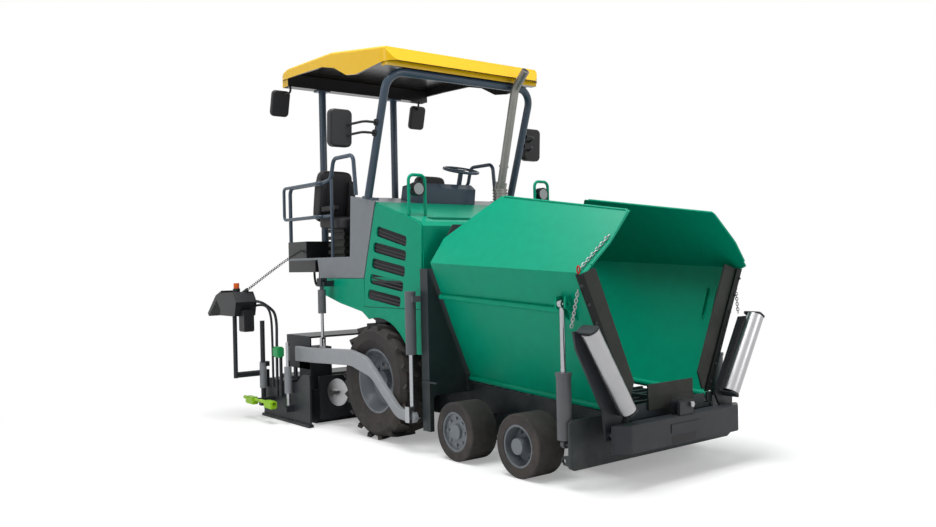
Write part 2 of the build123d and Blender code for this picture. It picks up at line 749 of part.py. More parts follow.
# ---------------------------------------------------------------- hopper wings
def wing_line(x):
    """Outer line of the wing's section at a station: (y, z) from hinge to top edge."""
    fall = WING_FALL * (x - WING_REAR)
    ahead = (x - WING_REAR) / (2590 - WING_REAR)
    return [
        (-WING_HINGE_Y, WING_HINGE_Z - fall),
        (-700, 1059 - fall),
        (-785, 1272 - fall),
        (-900, 1546 - fall),
        (-480 + 10 * ahead, 2125 - 245 * ahead),
    ]


def wing_section(x):
    """Closed section of the wing plate at a station."""
    outer = wing_line(x)
    inner = [(y + WING_PLATE * 1.15, z - (WING_PLATE * 0.3 if i > 2 else 0)) for i, (y, z) in enumerate(outer)]
    return outer + inner[::-1]


def wing():
    """Right hopper wing: folded plate, hem, hinge tubes, cylinder ears and clamp bar."""
    nose = 2660.0
    with BuildPart() as panel:
        for x in (WING_REAR, nose):
            with BuildSketch(facing(x)):
                with BuildLine():
                    Polyline(*wing_section(x), close=True)
                make_face()
        loft(ruled=True)
        # rear top corner cut on the slant, front edge raked and its nose rounded
        with BuildSketch(across(-300)):
            side_outline([(800, 1676), (1313, 2084), (1313, 2300), (800, 2300)])
            side_outline([(2503, 300), (2503, 560), (WING_FRONT, 600), (WING_FRONT, 1440), (2600, 1470), (2632, 1660), (2600, 1990),
                          (2750, 1990), (2750, 300)])
        extrude(amount=700, mode=Mode.SUBTRACT)
        # hem along the fold of the lower panel
        start = wing_line(WING_REAR)[2]
        end = wing_line(2290)[2]
        bar((station(WING_REAR), start[0] - 14, start[1]), (station(2290), end[0] - 14, end[1]), 22)
        # hinge tube
        root = (station(WING_REAR), -WING_HINGE_Y, hinge_z(WING_REAR))
        tip = (station(2503), -WING_HINGE_Y, hinge_z(2503))
        bar(root, tip, 26)
        bar((station(WING_REAR - 10), -WING_HINGE_Y, hinge_z(WING_REAR - 10)), tip, 14, Mode.SUBTRACT)
        # ears of the hopper cylinder
        for x in (WING_PIN[0] - 38, WING_PIN[0] + 50):
            with BuildSketch(facing(x)):
                with BuildLine():
                    Polyline((-788, 1300), (-880, 1300), (-884, 1225), (-840, 1200), (-700, 1080), close=True)
                make_face()
                with Locations((-850, 1250)):
                    Circle(16, mode=Mode.SUBTRACT)
            extrude(amount=14)
        # clamp bar of the apron along the front edge
        foot = (-420, 540)
        head = (-896, 1440)
        with BuildSketch(facing(WING_FRONT)):
            with BuildLine():
                Polyline(foot, (foot[0] - 66, foot[1] + 4), (head[0] - 20, head[1] + 8),
                         (head[0] + 42, head[1] + 12), close=True)
            make_face()
        extrude(amount=16)
    return panel


def apron():
    """Rubber strip clamped to the wing's front edge."""
    with BuildPart() as strip:
        with BuildSketch(facing(WING_FRONT - 14 - FIT)):
            with BuildLine():
                Polyline((-432, 560), (-852, 1452), (-722, 1489), (-358, 690), (-405, 560), close=True)
            make_face()
        extrude(amount=14)
    return strip


def front_flap():
    """Rubber flap across the lower front of the hopper."""
    with BuildPart() as flap:
        block(FLAP_STATION, FLAP_STATION + FLAP_THICK, -250, 250, FLOOR_Z - 80, 660)
        block(FLAP_STATION + FLAP_THICK, FRAME_FRONT, -250, 250, FLOOR_Z - 80, FLOOR_Z)
    return flap


def hopper_barrel():
    """Barrel of the wing cylinder with its foot eye."""
    x, y, z = HOPPER_PIN
    with BuildPart() as barrel:
        bar((station(x), y, z + 28), (station(x), y, 760), 52)
        bar((station(x), y, 760), (station(x), y, 784), 57)
        bar((station(x), y, z + 60), (station(x), y, 784), 19 + FIT, Mode.SUBTRACT)
        bar((station(x - 16), y, z), (station(x + 16), y, z), 30)
        block(x - 16, x + 16, y - 22, y + 22, z + 22, z + 40)
        bar((station(x - 16), y, z), (station(x + 16), y, z), 15, Mode.SUBTRACT)
    return barrel


def hopper_rod():
    """Rod of the wing cylinder with its eye between the wing's ears."""
    x, y, z = WING_PIN
    with BuildPart() as rod:
        bar((station(x), y, 700), (station(x), y, z - 24), 19)
        bar((station(x - 18), y, z), (station(x + 18), y, z), 32)
        bar((station(x - 18), y, z), (station(x + 18), y, z), 16, Mode.SUBTRACT)
    return rod


# ---------------------------------------------------------------- push rollers
ARM_PIN = (-655.0, 365.0)       # Y and Z of the right carrier's pivot
ARM_BACK = 2550.0
ARM_THICK = 18.0
ROLLER_STATION = 2650.0
ROLLER_RADIUS = 62.0
ROLLER_LOW = Vector(0, -575, 530)
ROLLER_DIR = Vector(0, -0.527, 0.850)
ROLLER_LENGTH = 650.0


def roller_plane(along):
    """Plane square to the folded roller's axis, at a distance up from its low end."""
    return Plane(
        origin=Vector(station(ROLLER_STATION), 0, 0) + ROLLER_LOW + ROLLER_DIR * along,
        x_dir=(1, 0, 0),
        z_dir=ROLLER_DIR,
    )


def roller_arm():
    """Folding carrier of the right push roller: back plate, two cheeks and axle."""
    cheek = 12.0
    back = ARM_BACK + ARM_THICK / 2 - ROLLER_STATION
    front = ROLLER_RADIUS
    with BuildPart() as arm:
        with BuildSketch(facing(ARM_BACK)):
            with BuildLine():
                Polyline((-700, 330), (-610, 330), (-500, 520), (-830, 1080), (-985, 1080), (-960, 960),
                         (-720, 520), close=True)
            make_face()
            with Locations(ARM_PIN):
                Circle(20 + FIT, mode=Mode.SUBTRACT)
        extrude(amount=ARM_THICK)
        for along in (-6 - cheek, ROLLER_LENGTH + 6):
            with BuildSketch(roller_plane(along)):
                with Locations(((back + front) / 2, 0)):
                    RectangleRounded(front - back, 84, 20)
            extrude(amount=cheek)
        low = roller_plane(-6 - cheek).origin
        high = roller_plane(ROLLER_LENGTH + 6 + cheek).origin
        bar(low, high, 14)
    return arm


def roller():
    """Right push roller, bored for its axle."""
    low = roller_plane(0).origin
    high = roller_plane(ROLLER_LENGTH).origin
    with BuildPart() as drum:
        bar(low, high, ROLLER_RADIUS)
        bar(low, high, 14 + FIT, Mode.SUBTRACT)
    return drum


# ---------------------------------------------------------------- tow arms and screed
def tow_arms():
    """Two cranked tow arms with the pin bore at the front."""
    upper = [(-1330, 746), (-1102, 746), (-295, 779), (-17, 734), (302, 495), (498, 335), (730, 330)]
    lower = [(742, 288), (730, 246), (480, 252), (328, 350), (77, 562), (-265, 638), (-953, 608), (-1330, 600)]
    with BuildPart() as arms:
        for side in (-1, 1):
            outer = max(side * ARM_INNER_Y, side * (ARM_INNER_Y + ARM_PLATE))
            with BuildSketch(across(outer)):
                side_outline(upper + lower)
                with Locations((station(TOW_STATION), TOW_Z)):
                    Circle(22 + FIT, mode=Mode.SUBTRACT)
            extrude(amount=ARM_PLATE)
            # lug of the lift cylinder
            with BuildSketch(across(side * 961 + 8)):
                side_outline([(-860, 750), (-740, 755), (-780, 820), (-820, 820)])
                with Locations((station(-800), 800)):
                    Circle(12, mode=Mode.SUBTRACT)
            extrude(amount=16)
    return arms


def levelling_barrels():
    """Cylinders that raise and lower the tow points, bored for their rods."""
    with BuildPart() as barrels:
        for side in (-1, 1):
            y = side * 961
            bar((station(TOW_STATION), y, 800), (station(TOW_STATION), y, 1318), 45)
            block(TOW_STATION - 20, 742 - FIT, y - 20, y + 20, 1230, 1280)
            block(742 - FIT - 30, 742 - FIT, side * 862, y, 1230, 1280)
            bar((station(TOW_STATION), y, 800), (station(TOW_STATION), y, 1290), 20 + FIT, Mode.SUBTRACT)
    return barrels


def tow_points():
    """Rods of the levelling cylinders with the pins that carry the tow arms."""
    with BuildPart() as points:
        for side in (-1, 1):
            y = side * 961
            outside = side * (ARM_INNER_Y + ARM_PLATE + 6)
            bar((station(TOW_STATION), side * 900, TOW_Z), (station(TOW_STATION), side * 1015, TOW_Z), 22)
            block(TOW_STATION - 30, TOW_STATION + 30, side * 1015, outside, TOW_Z - 40, TOW_Z + 90)
            block(TOW_STATION - 30, TOW_STATION + 30, y, side * 1015, TOW_Z + 60, TOW_Z + 90)
            bar((station(TOW_STATION), y, TOW_Z + 60), (station(TOW_STATION), y, 1000), 20)
    return points


def screed_base():
    """Middle screed: moulded front plate, body, sole and walkway on top."""
    rear = SCREED_FRONT - BASE_DEPTH
    with BuildPart() as base:
        with BuildSketch(across(SCREED_HALF)):
            side_outline([(SCREED_FRONT, 60), (SCREED_FRONT, 470), (SCREED_FRONT - 25, 470),
                          (SCREED_FRONT - 40, 330), (rear, 330), (rear, SCREED_SOLE_Z),
                          (SCREED_FRONT - 90, SCREED_SOLE_Z)])
        extrude(amount=2 * SCREED_HALF)
        # brackets that tie the screed to its arms
        for side in (-1, 1):
            inner = side * 700
            block(-1330, -1100, inner, side * (ARM_INNER_Y - FIT), 330, 620)
            block(-1330, -1100, inner, side * (ARM_INNER_Y - FIT), 620, 740)
        block(-1380, -1100, -700, 700, 640, 660)
    return base


def extension():
    """Right sliding screed with its end plate, sole, post and console bracket."""
    front = SCREED_FRONT - BASE_DEPTH - RUN
    rear = front - EXTENSION_DEPTH
    y = -1385.0
    with BuildPart() as slide:
        with BuildSketch(across(-20)):
            side_outline([(front, 60), (front, 400), (front - 40, 430), (rear, 430), (rear, SCREED_SOLE_Z),
                          (front - 50, SCREED_SOLE_Z)])
        extrude(amount=SCREED_HALF - 20)
        block(rear, front - 20, -END_PLATE_Y, -SCREED_HALF, 60, 400)
        block(front, front + RUN - FIT, -SCREED_HALF, -20, 200, 260)
        # end plate with its shoe
        with BuildSketch(across(-END_PLATE_Y)):
            side_outline([(-1880, 20), (-880, 20), (-880, 500), (-1010, 500), (-1130, 420), (-1880, 300)])
        extrude(amount=18)
        block(-1890, -870, -END_PLATE_Y - 40, -END_PLATE_Y + 12, SCREED_SOLE_Z - 2, 30)
        # height screw at the rear of the end plate
        bar((station(-1800), -1110, 200), (station(-1800), -1110, 990), 24)
        block(-1830, -1770, -1130, -END_PLATE_Y, 520, 570)
        # outrigger and post of the console
        bar((station(-1850), -END_PLATE_Y, 450), (station(-1850), y, 450), 30)
        block(-1880, -1820, -END_PLATE_Y - 18, -END_PLATE_Y + 20, 280, 480)
        bar((station(-1850), y, 420), (station(-1850), y, 1070), 22)
        # control box with tilted display and beacon
        with BuildSketch(across(y + 110)):
            side_outline([(-1960, 1060), (-1600, 1060), (-1560, 1200), (-1640, 1300), (-1900, 1290)])
        extrude(amount=220)
        with BuildSketch(across(y + 90)):
            side_outline([(-1975, 1100), (-1930, 1110), (-1960, 1310), (-2110, 1260), (-2330, 1070),
                          (-2300, 1040), (-2090, 1210)])
        extrude(amount=180)
        bar((station(-1790), y, 1280), (station(-1790), y, 1330), 36)
        bar((station(-1790), y, 1330), (station(-1790), y, 1385), 28)
        # gland of the curly lead, in line with its last run
        foot = Vector(station(0), 0, 0) + LEAD_FOOT
        bar(foot, foot + (LEAD_FOOT - LEAD_BEND).normalized() * 70, LEAD_RADIUS + 4)
    return slide


def augers():
    """Both halves of the spreading auger: shafts with slanted flights."""
    x, z = AUGER
    with BuildPart() as screws:
        for side in (-1, 1):
            bar((station(x), side * AUGER_GAP, z), (station(x), side * 900, z), 32)
            planes = [
                Plane(origin=(station(x), side * (170 + i * 165), z), z_dir=(0.32 * side, 1, 0))
                for i in range(5)
            ]
            with BuildSketch(*planes):
                Circle(130)
            extrude(amount=6, both=True)
    return screws


def lift_barrels():
    """Barrels of the two screed lift cylinders."""
    x, z = LIFT_PIN
    with BuildPart() as barrels:
        for side in (-1, 1):
            y = side * 961
            bar((station(x), y, 1090), (station(x), y, z - 60), 38)
            bar((station(x), y, 1090), (station(x), y, z - 72), LIFT_ROD_RADIUS + FIT, Mode.SUBTRACT)
            block(x - 18, x + 18, y - 12, y + 12, z - 61, z)
            bar((station(x), y - 16, z), (station(x), y + 16, z), 30)
            bar((station(x), y - 16, z), (station(x), y + 16, z), LIFT_PIN_RADIUS, Mode.SUBTRACT)
    return barrels


def lift_rods():
    """Rods of the two screed lift cylinders."""
    x = LIFT_PIN[0]
    with BuildPart() as rods:
        for side in (-1, 1):
            y = side * 961
            bar((station(x), y, 858), (station(x), y, 1105), LIFT_ROD_RADIUS)
            for cheek in (-1, 1):
                block(x - 20, x + 20, y + cheek * (8 + FIT), y + cheek * 22, 780, 850)
            block(x - 20, x + 20, y - 22, y + 22, 846, 862)
    return rods


def cords():
    """Curly lead from the platform to the right console, and a hose loop."""
    with BuildPart() as lead:
        origin = Vector(station(0), 0, 0)
        tube_path([origin + LEAD_TOP - Vector(0, FIT, 0), origin + LEAD_BEND, origin + LEAD_FOOT],
                  LEAD_RADIUS, 80)
    with BuildPart() as hose:
        points = [(-1420, 1480 - FIT), (-1420, 1420), (-1390, 1345), (-1335, 1345), (-1305, 1420),
                  (-1305, 1480 - FIT)]
        tube_path([(station(x), -700, z) for x, z in points], 12, 22)
    return lead, hose


# ---------------------------------------------------------------- build and write
def build():
    right_outer = -WHEEL_OUTER_Y
    left_outer = WHEEL_OUTER_Y - REAR_TYRE_WIDTH
    tyre = rear_tyre(right_outer)
    rim = rear_rim(right_outer)
    for name, piece in (("rear_tyre", tyre), ("rear_rim", rim)):
        keep(piece, f"{name}_right")
        keep(mirrored(piece), f"{name}_left")
    for axle, x in zip(("leading", "trailing"), FRONT_STATIONS[::-1]):
        dished = axle == "leading"
        for name, piece in (
            ("front_tyre", front_tyre(x, right_outer)),
            ("front_rim", front_rim(x, right_outer, dished)),
            ("knuckle", knuckle(x)),
        ):
            keep(piece, f"{name}_{axle}_right")
            keep(mirrored(piece), f"{name}_{axle}_left")
    for label, piece in (
        ("rear_axle", rear_axle()),
        ("bogie_beams", bogie_beams()),
        ("chassis_frame", chassis_frame()),
        ("engine_block", engine_block()),
        ("conveyors", conveyors()),
        ("push_beam", push_beam()),
        ("tow_coupling", tow_coupling()),
        ("hood", hood()),
        ("fenders", fenders()),
        ("platform", platform()),
        ("dashboard", dashboard()),
        ("seats", seats()),
        ("handrails", handrails()),
        ("canopy_posts", canopy_posts()),
        ("canopy", canopy()),
        ("exhaust", exhaust()),
        ("mirrors", mirrors()),
        ("headlamps", headlamps()),
        ("front_flap", front_flap()),
        ("tow_arms", tow_arms()),
        ("levelling_barrels", levelling_barrels()),
        ("tow_points", tow_points()),
        ("screed_base", screed_base()),
        ("augers", augers()),
        ("lift_barrels", lift_barrels()),
        ("lift_rods", lift_rods()),
    ):
        keep(piece, label)
    for name, piece in (
        ("side_door", side_door()),
        ("wing", wing()),
        ("apron", apron()),
        ("hopper_barrel", hopper_barrel()),
        ("hopper_rod", hopper_rod()),
        ("roller_arm", roller_arm()),
        ("roller", roller()),
        ("extension", extension()),
    ):
        keep(piece, f"{name}_right")
        keep(mirrored(piece), f"{name}_left")
    lead, hose = cords()
    keep(lead, "curly_lead")
    keep(hose, "hose_loop")


build()
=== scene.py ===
"""Looks of a compact wheeled asphalt paver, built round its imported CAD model.

Metres; +X is the direction of travel, +Y the left side, +Z up. A place on the machine
is its station ahead of the rear axle, its y and its z, in millimetres.
"""
import json
import math
import bmesh
import bpy
from mathutils import Matrix, Vector


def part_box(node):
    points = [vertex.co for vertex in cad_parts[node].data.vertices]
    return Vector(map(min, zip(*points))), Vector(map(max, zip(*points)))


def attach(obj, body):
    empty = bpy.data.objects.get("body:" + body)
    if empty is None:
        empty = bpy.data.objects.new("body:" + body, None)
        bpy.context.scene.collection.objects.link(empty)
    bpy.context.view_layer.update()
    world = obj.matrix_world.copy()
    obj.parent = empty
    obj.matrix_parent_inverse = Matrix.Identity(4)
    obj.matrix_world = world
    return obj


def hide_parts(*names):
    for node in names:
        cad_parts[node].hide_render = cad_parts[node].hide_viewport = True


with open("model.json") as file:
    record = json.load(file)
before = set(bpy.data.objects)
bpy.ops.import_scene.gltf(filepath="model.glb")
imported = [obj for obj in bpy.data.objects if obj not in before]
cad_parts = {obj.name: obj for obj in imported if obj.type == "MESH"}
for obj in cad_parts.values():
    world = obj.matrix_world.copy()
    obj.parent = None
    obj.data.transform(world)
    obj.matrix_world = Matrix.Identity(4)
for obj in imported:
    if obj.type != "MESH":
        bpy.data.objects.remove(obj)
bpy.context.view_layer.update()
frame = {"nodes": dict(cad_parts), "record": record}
X0 = -0.1915                     # rear axle; every station is measured forward from it
SIDES = (("right", -1), ("left", 1))
WHITE = (1, 1, 1, 1)


# ---------------------------------------------------------------- studio
# The machine stands on a white studio floor, seen from its front right corner at
# chest height. A big overhead lamp, a front lamp and a pale world light it softly.
SENSOR_WIDTH = 36                # millimetres
FRAME_WIDTH, FOCAL = 936, 873.9  # pixels
EYE = (6.5865 + X0, -5.0152, 1.540)
FLOOR_GLOW = 0.30                # emission that the camera sees
FADE_FROM, FADE_TO = 2.6, 5.0    # the floor turns plain white between these distances
WORLD_FILL = 0.25                # light of the world on matt surfaces


def wire(tree, value, socket):
    """Feeds an input from another node's output, or gives it a plain value."""
    if isinstance(value, bpy.types.NodeSocket):
        tree.links.new(value, socket)
    else:
        socket.default_value = value


def fill(tree, node, values):
    """Feeds several named inputs of a node."""
    for name, value in values.items():
        wire(tree, value, node.inputs[name])


def source(tree, kind, output):
    """Named output of a new node that needs no settings."""
    return tree.nodes.new("ShaderNode" + kind).outputs[output]


def calc(tree, operation, *values, clamp=False):
    """Output of a Math node fed with outputs or numbers."""
    node = tree.nodes.new("ShaderNodeMath")
    node.operation = operation
    node.use_clamp = clamp
    for value, socket in zip(values, node.inputs):
        wire(tree, value, socket)
    return node.outputs[0]


def remap(tree, value, **limits):
    """Output of a Map Range node, with limits named from_min, from_max, to_min and to_max."""
    node = tree.nodes.new("ShaderNodeMapRange")
    wire(tree, value, node.inputs["Value"])
    fill(tree, node, {name.replace("_", " ").title(): limit for name, limit in limits.items()})
    return node.outputs[0]


def aim(turn, dip, roll):
    """Rotation of a camera that looks along an azimuth, dipped and rolled, in degrees."""
    a, p, r = (math.radians(v) for v in (turn, dip, roll))
    ahead = Vector((-math.sin(a) * math.cos(p), math.cos(a) * math.cos(p), -math.sin(p)))
    right = ahead.cross(Vector((0, 0, 1))).normalized()
    up = right.cross(ahead)
    side = right * math.cos(r) + up * math.sin(r)
    top = up * math.cos(r) - right * math.sin(r)
    return Matrix((side, top, -ahead)).transposed().to_4x4()


eye = bpy.data.cameras.new("camera")
eye.sensor_width = SENSOR_WIDTH
eye.lens = SENSOR_WIDTH * FOCAL / FRAME_WIDTH
camera = bpy.data.objects.new("camera", eye)
bpy.context.scene.collection.objects.link(camera)
camera.matrix_world = Matrix.Translation(EYE) @ aim(51.702, 0.04, -1.21)
bpy.context.scene.camera = camera

bpy.ops.object.select_all(action="DESELECT")
bpy.ops.mesh.primitive_plane_add(size=80, location=(0, 0, 0))
floor = bpy.context.object
floor.name = "studio_floor"
paint = bpy.data.materials.new("studio_floor")
paint.use_nodes = True
tree = paint.node_tree
shader = tree.nodes["Principled BSDF"]
fill(tree, shader, {
    "Base Color": (0.80, 0.80, 0.80, 1),
    "Roughness": 0.75,
    "Specular IOR Level": 0.2,
    "Emission Color": WHITE,
    "Emission Strength": calc(tree, "MULTIPLY", source(tree, "LightPath", "Is Camera Ray"), FLOOR_GLOW),
})
reach = tree.nodes.new("ShaderNodeVectorMath")
reach.operation = "LENGTH"
tree.links.new(source(tree, "TexCoord", "Object"), reach.inputs[0])
fade = tree.nodes.new("ShaderNodeMixShader")
away = remap(tree, reach.outputs["Value"], from_min=FADE_FROM, from_max=FADE_TO)
for value, socket in zip((away, shader.outputs[0], source(tree, "Emission", "Emission")), fade.inputs):
    tree.links.new(value, socket)
tree.links.new(fade.outputs[0], tree.nodes["Material Output"].inputs["Surface"])
floor.data.materials.append(paint)

world = bpy.data.worlds.new("studio")
bpy.context.scene.world = world
world.use_nodes = True
tree = world.node_tree
rays = tree.nodes.new("ShaderNodeLightPath").outputs
mirrored = calc(tree, "MAXIMUM", rays["Is Camera Ray"], rays["Is Glossy Ray"])
seen = calc(tree, "MAXIMUM", mirrored, rays["Is Transmission Ray"])
fill(tree, tree.nodes["Background"], {
    "Color": WHITE, "Strength": remap(tree, seen, to_min=WORLD_FILL, to_max=1.0)})

for name, place, target, size, power in (
    ("overhead", (0.5, -1.5, 9.5), (0, 0, 1.0), 6.0, 980),
    ("front", (9.5, 3.0, 5.0), (0.5, 0, 1.2), 4.0, 190),
    ("right_side", (-1.0, -10.0, 4.5), (0, 0, 1.2), 4.0, 130),
):
    lamp = bpy.data.lights.new(name, "AREA")
    lamp.size = size
    lamp.energy = power
    holder = bpy.data.objects.new(name, lamp)
    bpy.context.scene.collection.objects.link(holder)
    holder.location = place
    holder.rotation_euler = (Vector(target) - Vector(place)).to_track_quat("-Z", "Y").to_euler()
bpy.context.scene.view_settings.view_transform = "Standard"


# ---------------------------------------------------------------- paints and metals
# Sheet steel is sprayed in green, greys and black, castings are rough, and road
# dust settles low down. The same two groups give every finish its grain and dust.
BUMP_DEPTH = 0.002
DUST_MATT = 0.45                 # roughness that full dust adds


def group(name, inputs, outputs):
    """Empty shader group with named sockets; returns it with its input and output nodes."""
    made = bpy.data.node_groups.new(name, "ShaderNodeTree")
    for label, kind, value in inputs:
        made.interface.new_socket(label, in_out="INPUT", socket_type=kind).default_value = value
    for label, kind in outputs:
        made.interface.new_socket(label, in_out="OUTPUT", socket_type=kind)
    return made, made.nodes.new("NodeGroupInput"), made.nodes.new("NodeGroupOutput")


def noise(tree, place, **values):
    """Output of a noise texture, with its scale, detail and roughness."""
    node = tree.nodes.new("ShaderNodeTexNoise")
    wire(tree, place, node.inputs["Vector"])
    fill(tree, node, {name.title(): value for name, value in values.items()})
    return node.outputs["Fac"]


def blend(tree, kind, factor, a, b):
    """Output of a Mix node of a kind, FLOAT or RGBA."""
    node = tree.nodes.new("ShaderNodeMix")
    node.data_type = kind
    fill(tree, node, {"Factor": factor, "A": a, "B": b})
    return node.outputs["Result"]


def parts_of(tree, vector):
    """The x, y and z outputs of a vector."""
    node = tree.nodes.new("ShaderNodeSeparateXYZ")
    tree.links.new(vector, node.inputs[0])
    return tuple(node.outputs)


dust, entry, leave = group(
    "road_dust",
    [("Color", "NodeSocketColor", (0.5, 0.5, 0.5, 1)), ("Dust", "NodeSocketColor", (0.2, 0.18, 0.16, 1)),
     ("Amount", "NodeSocketFloat", 0.3), ("Height", "NodeSocketFloat", 1.0),
     ("Roughness", "NodeSocketFloat", 0.4)],
    [("Color", "NodeSocketColor"), ("Roughness", "NodeSocketFloat")],
)
where = source(dust, "TexCoord", "Object")
low = remap(dust, parts_of(dust, where)[2], from_max=entry.outputs["Height"], to_min=1.0, to_max=0.12)
patch = remap(dust, noise(dust, where, scale=3.0, detail=8.0, roughness=0.65), from_min=0.42, from_max=0.72)
share = calc(dust, "MULTIPLY", calc(dust, "MULTIPLY", low, patch), entry.outputs["Amount"], clamp=True)
fill(dust, leave, {
    "Color": blend(dust, "RGBA", share, entry.outputs["Color"], entry.outputs["Dust"]),
    "Roughness": calc(dust, "MULTIPLY_ADD", share, DUST_MATT, entry.outputs["Roughness"], clamp=True),
})

grain, entry, leave = group(
    "surface_grain",
    [("Fine", "NodeSocketFloat", 400.0), ("Coarse", "NodeSocketFloat", 12.0), ("Wave", "NodeSocketFloat", 0.3)],
    [("Height", "NodeSocketFloat"), ("Tone", "NodeSocketFloat")],
)
where = source(grain, "TexCoord", "Object")
fine = noise(grain, where, scale=entry.outputs["Fine"], detail=3.0)
coarse = noise(grain, where, scale=entry.outputs["Coarse"], detail=5.0)
fill(grain, leave, {"Height": blend(grain, "FLOAT", entry.outputs["Wave"], fine, coarse), "Tone": coarse})


def use_group(tree, made, values):
    """Places a shader group in a material and returns its outputs."""
    node = tree.nodes.new("ShaderNodeGroup")
    node.node_tree = made
    fill(tree, node, values)
    return node.outputs


def finish(name, colour, rough, metal=0.0, coat=0.0, dusty=0.25, height=1.0, bump=0.04, tone=0.10,
           fine=400.0, coarse=12.0, wave=0.3, dirt=(0.17, 0.155, 0.14), spec=0.3):
    """Material of one paint, metal, rubber or plastic, with its own grain, tone and dust."""
    made = bpy.data.materials.new(name)
    made.use_nodes = True
    tree = made.node_tree
    texture = use_group(tree, grain, {"Fine": fine, "Coarse": coarse, "Wave": wave})
    darker = tuple(c * (1 - tone) for c in colour) + (1,)
    lighter = tuple(min(1, c * (1 + tone)) for c in colour) + (1,)
    film = use_group(tree, dust, {
        "Amount": dusty, "Height": height, "Roughness": rough, "Dust": dirt + (1,),
        "Color": blend(tree, "RGBA", texture["Tone"], darker, lighter),
    })
    relief = tree.nodes.new("ShaderNodeBump")
    fill(tree, relief, {"Strength": bump, "Distance": BUMP_DEPTH, "Height": texture["Height"]})
    fill(tree, tree.nodes["Principled BSDF"], {
        "Base Color": film["Color"], "Roughness": film["Roughness"], "Normal": relief.outputs["Normal"],
        "Metallic": metal, "Coat Weight": coat, "Coat Roughness": 0.06, "Specular IOR Level": spec,
    })
    return made


def repaint(node, paint):
    """Gives a CAD node another finish."""
    frame["nodes"][node].data.materials[0] = paint


green = finish("green_paint", (0.0, 0.285, 0.165), 0.34, dusty=0.03, height=0.7, spec=0.12)
grey = finish("grey_paint", (0.245, 0.26, 0.285), 0.38, coat=0.1, dusty=0.22)
pale_grey = finish("pale_grey_paint", (0.165, 0.185, 0.205), 0.36, coat=0.1, dusty=0.12)
beam_grey = finish("beam_grey_paint", (0.022, 0.026, 0.031), 0.42, dusty=0.12, height=0.8)
cylinder_grey = finish("cylinder_grey", (0.105, 0.112, 0.122), 0.38, dusty=0.2)
dark = finish("dark_paint", (0.016, 0.024, 0.028), 0.42, dusty=0.35, height=0.9)
slate = finish("slate_paint", (0.035, 0.058, 0.088), 0.35, coat=0.2, dusty=0.0)
roof_yellow = finish("yellow_roof_plastic", (0.72, 0.43, 0.0), 0.25, coat=0.1, dusty=0.0, bump=0.01,
                     tone=0.03)
tyre_rubber = finish("tyre_rubber", (0.034, 0.031, 0.031), 0.78, dusty=0.5, height=1.1, bump=0.35,
                     fine=260.0, dirt=(0.16, 0.135, 0.12))
sheet_rubber = finish("sheet_rubber", (0.013, 0.016, 0.013), 0.6, dusty=0.3, height=1.6, bump=0.2)
roller_steel = finish("roller_steel", (0.42, 0.42, 0.43), 0.32, metal=1.0, dusty=0.12, bump=0.05, fine=60.0)
bright_rod = finish("bright_rod", (0.42, 0.43, 0.45), 0.22, metal=1.0, dusty=0.0, bump=0.01)
black_plastic = finish("black_plastic", (0.014, 0.014, 0.016), 0.45, dusty=0.0, bump=0.12)
seat_vinyl = finish("seat_vinyl", (0.012, 0.012, 0.014), 0.5, dusty=0.0, bump=0.3, fine=700.0)
iron = finish("cast_iron", (0.05, 0.052, 0.055), 0.6, dusty=0.3, bump=0.3, fine=120.0)
pipe_steel = finish("exhaust_steel", (0.23, 0.225, 0.21), 0.42, metal=0.8, dusty=0.0, bump=0.08,
                    coarse=5.0, tone=0.25)
finishes = {
    "green_paint": green, "grey_paint": grey, "light_grey_paint": pale_grey, "dark_paint": dark,
    "slate_paint": slate, "yellow_roof": roof_yellow, "tyre": tyre_rubber, "rubber": sheet_rubber,
    "steel": roller_steel, "rod_chrome": bright_rod, "black_plastic": black_plastic,
    "seat_cover": seat_vinyl, "engine_iron": iron, "exhaust_steel": pipe_steel,
}
for part in frame["record"]["subparts"]:
    node = frame["nodes"][part["node"]]
    node.data.materials.clear()
    node.data.materials.append(finishes[part["material_slot"]])
for name in ("push_beam", "roller_arm_right", "roller_arm_left", "screed_base"):
    repaint(name, beam_grey)
for name in ("levelling_barrels", "lift_barrels", "hopper_barrel_right", "hopper_barrel_left"):
    repaint(name, cylinder_grey)


# ---------------------------------------------------------------- two-coloured parts and painted shade
# The roof's inside is black, the clamp strips and the console are dark, and the lamp guards are green.
# The hood's side wall behind the louvred doors is black as painted shade for the depth behind the slots.
# Each mask is worked out from the place or the facing of the surface.
BLACK = (0.012, 0.013, 0.015)
STRIP_BLACK = (0.010, 0.012, 0.012)
ROOF_BLACK = (0.016, 0.015, 0.015)
BEACON_ORANGE = (0.75, 0.12, 0.01)
ROOF_MIDDLE = 0.9                # the roof's middle lies this far behind the frame's origin
INWARD, DOWNWARD = -0.12, -0.5   # how far a face of the roof's inside turns to the middle, or down


def station_point(x, y, z):
    """Place in metres from a station, y and z in millimetres."""
    return Vector((X0 + x / 1000, y / 1000, z / 1000))


def zone(tree, low, high):
    """Mask that is 1 between two corners in millimetres, on both sides of the machine."""
    x, y, z = parts_of(tree, source(tree, "TexCoord", "Object"))
    mask = None
    for value, least, most in zip((x, calc(tree, "ABSOLUTE", y), z), station_point(*low), station_point(*high)):
        for limit, test in ((least, "GREATER_THAN"), (most, "LESS_THAN")):
            check = calc(tree, test, value, limit)
            mask = calc(tree, "MULTIPLY", mask, check) if mask else check
    return mask


def recolour(made, colour, mask):
    """Gives a finish a second colour where a mask is 1."""
    tree = made.node_tree
    socket = tree.nodes["Principled BSDF"].inputs["Base Color"]
    tree.links.new(blend(tree, "RGBA", mask, socket.links[0].from_socket, colour + (1,)), socket)


def own_paint(node, base):
    """Copy of a finish for one CAD node alone."""
    paint = base.copy()
    repaint(node, paint)
    return paint


